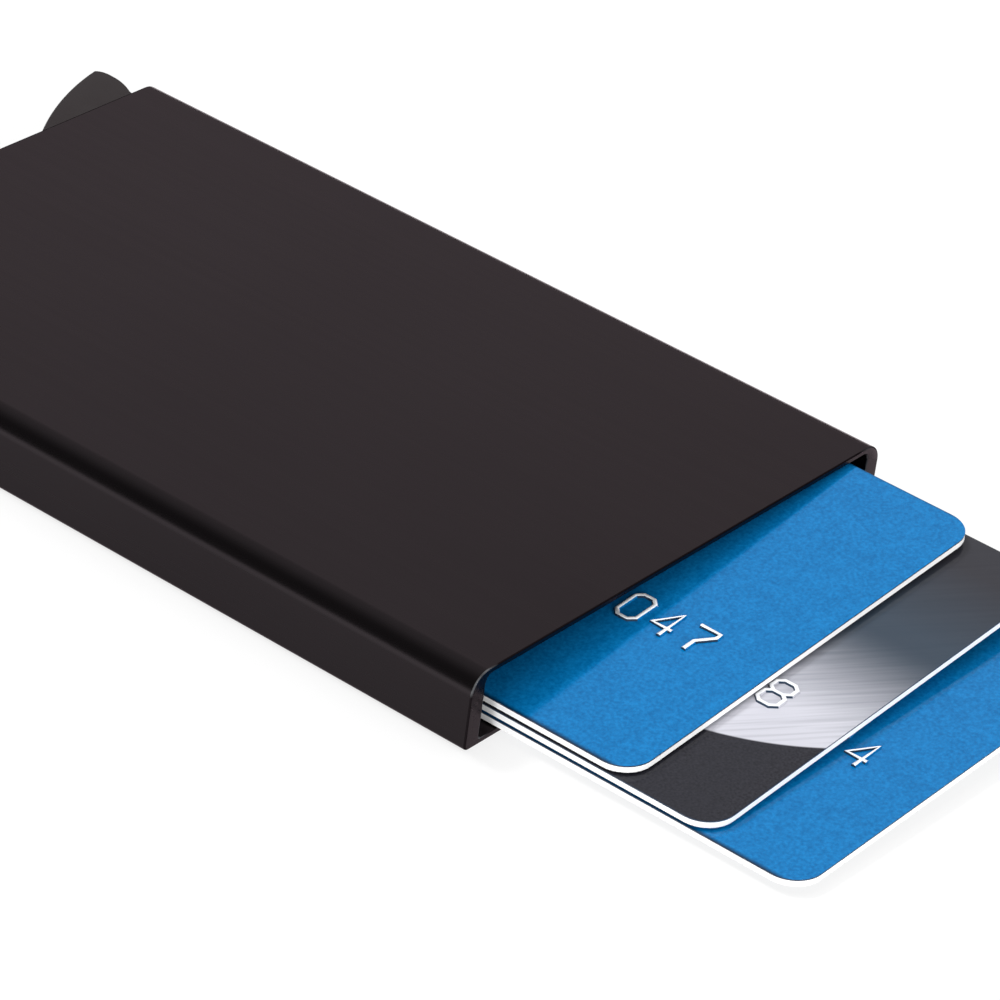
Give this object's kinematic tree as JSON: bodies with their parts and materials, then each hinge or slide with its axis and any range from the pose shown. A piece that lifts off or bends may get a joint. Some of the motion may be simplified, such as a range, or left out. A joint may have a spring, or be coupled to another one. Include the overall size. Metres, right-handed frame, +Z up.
{
  "type": "card protector",
  "caption": "Slim aluminium sleeve for bank cards with a corner thumb trigger; its stepped lever slides the cards out of the mouth as a fan.",
  "frame": {"origin": "middle of the sleeve's flat underside", "axes": "+Z up through the thin height, +Y along the length towards the closed end with the trigger, +X towards the trigger's corner"},
  "size_m": [0.063, 0.1376, 0.008],
  "materials": {
    "anodised_shell": "brownish black anodised, fine satin",
    "moulded_black": "moulded, matt",
    "moulded_trigger": "moulded, satin",
    "rivet_steel": "turned, bright",
    "strip_backing": "foil backing, matt",
    "strip_pile": "short woven pile",
    "blue_card": "laminated PVC, printed mottled blue, white core",
    "charcoal_card": "laminated PVC, printed charcoal and silver, white core"
  },
  "bodies": {
    "case": {"case_shell": "anodised_shell", "end_base": "moulded_black", "pivot_rivet": "rivet_steel", "left_strip_backing": "strip_backing", "left_strip_pile": "strip_pile", "right_strip_backing": "strip_backing", "right_strip_pile": "strip_pile"},
    "lever": {"ejector_lever": "moulded_trigger"},
    "top_card": {"card_top": "blue_card"},
    "middle_card": {"card_middle": "charcoal_card"},
    "bottom_card": {"card_bottom": "blue_card"}
  },
  "joints": [
    {"name": "lever_swing", "type": "hinge", "parent": "case", "child": "lever", "pos_m": [0.0265, 0.0434, 0.004], "axis": [0, 0, 1], "range_deg": [-43.75, 0]},
    {"name": "top_card_slide", "type": "slide", "parent": "case", "child": "top_card", "axis": [0, -1, 0], "range_m": [-0.01665, 0]},
    {"name": "middle_card_slide", "type": "slide", "parent": "case", "child": "middle_card", "axis": [0, -1, 0], "range_m": [-0.02605, 0]},
    {"name": "bottom_card_slide", "type": "slide", "parent": "case", "child": "bottom_card", "axis": [0, -1, 0], "range_m": [-0.03585, 0]}
  ],
  "couplings": [
    {"joint": "top_card_slide", "follows": "lever_swing", "m_per_rad": 0.021786},
    {"joint": "middle_card_slide", "follows": "lever_swing", "m_per_rad": 0.034085},
    {"joint": "bottom_card_slide", "follows": "lever_swing", "m_per_rad": 0.046908}
  ]
}
